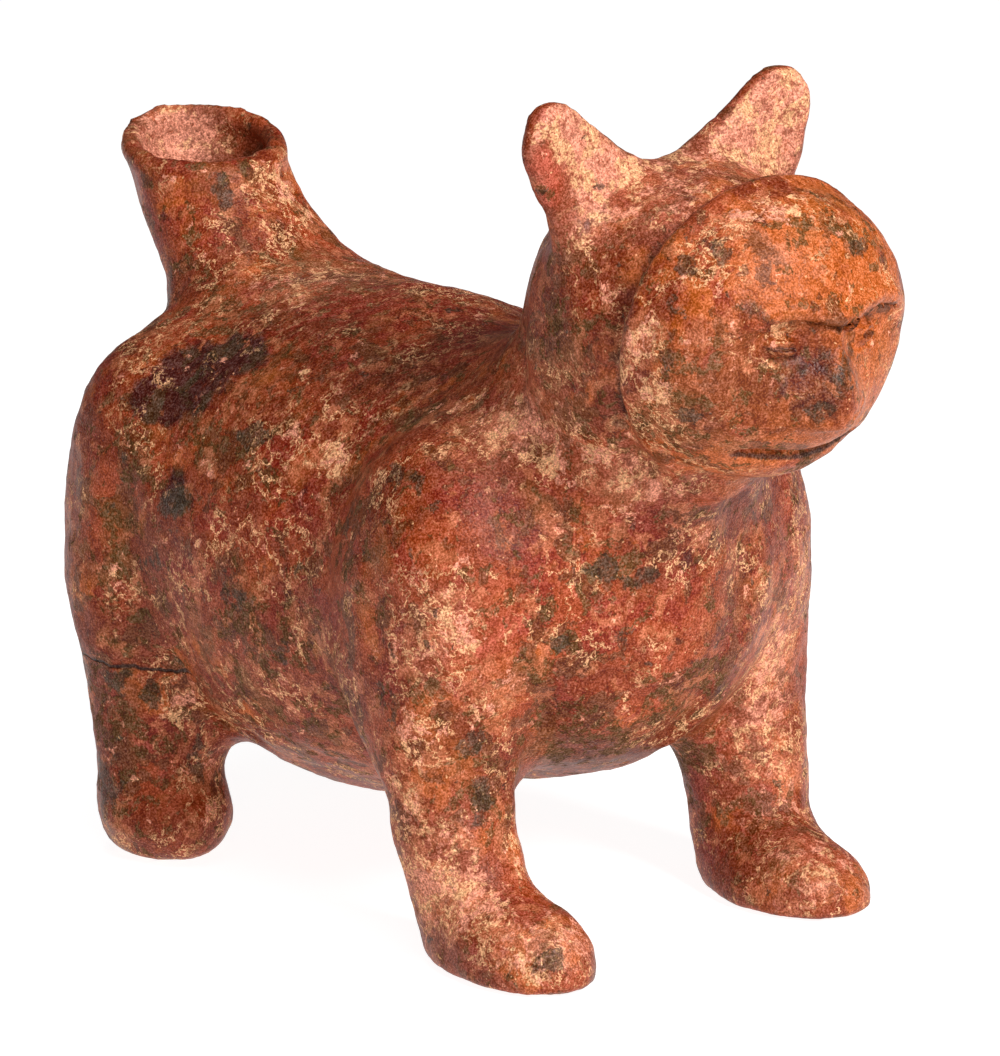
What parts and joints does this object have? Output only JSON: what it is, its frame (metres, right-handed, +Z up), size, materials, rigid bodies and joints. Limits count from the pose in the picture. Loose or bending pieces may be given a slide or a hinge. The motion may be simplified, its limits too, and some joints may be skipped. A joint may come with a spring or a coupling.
{
  "type": "colima dog figure",
  "caption": "Hollow burnished red clay dog standing on four short legs, with a face mask, prick ears and an open spout for a tail.",
  "frame": {"origin": "middle of the bounding box's base, on the ground", "axes": "+Z up, the dog faces -Y, its right side is at -X"},
  "size_m": [0.185, 0.3502, 0.2824],
  "materials": {
    "burnished_clay": "burnished red slip, worn and mottled"
  },
  "bodies": {
    "root": {"dog_vessel": "burnished_clay"}
  },
  "joints": []
}
